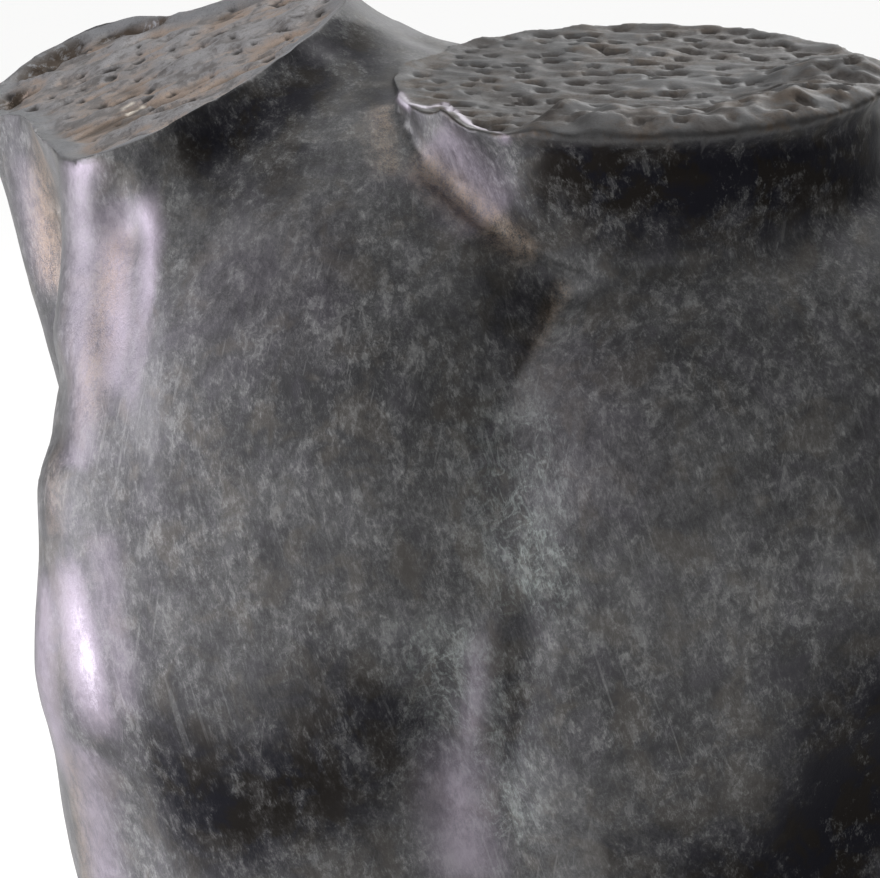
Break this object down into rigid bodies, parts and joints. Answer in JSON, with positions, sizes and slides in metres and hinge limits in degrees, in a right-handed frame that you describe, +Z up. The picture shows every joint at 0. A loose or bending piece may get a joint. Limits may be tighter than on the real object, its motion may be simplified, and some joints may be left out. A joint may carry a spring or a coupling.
{
  "type": "bronze torso sculpture",
  "caption": "Standing male torso in dark patinated cast bronze, cut flat at neck, shoulders and upper thighs, on a low bronze plinth.",
  "frame": {"origin": "middle of the plinth's underside", "axes": "+Z up, -Y the way the figure faces, +X the figure's left side"},
  "size_m": [0.3173, 0.24, 0.652],
  "materials": {
    "torso_bronze": "dark grey-green patina over cast bronze, brushed and waxed to a satin, rough where it is cut",
    "plinth_bronze": "darker even patina over cast bronze, satin"
  },
  "bodies": {
    "root": {"torso": "torso_bronze", "plinth": "plinth_bronze"}
  },
  "joints": []
}
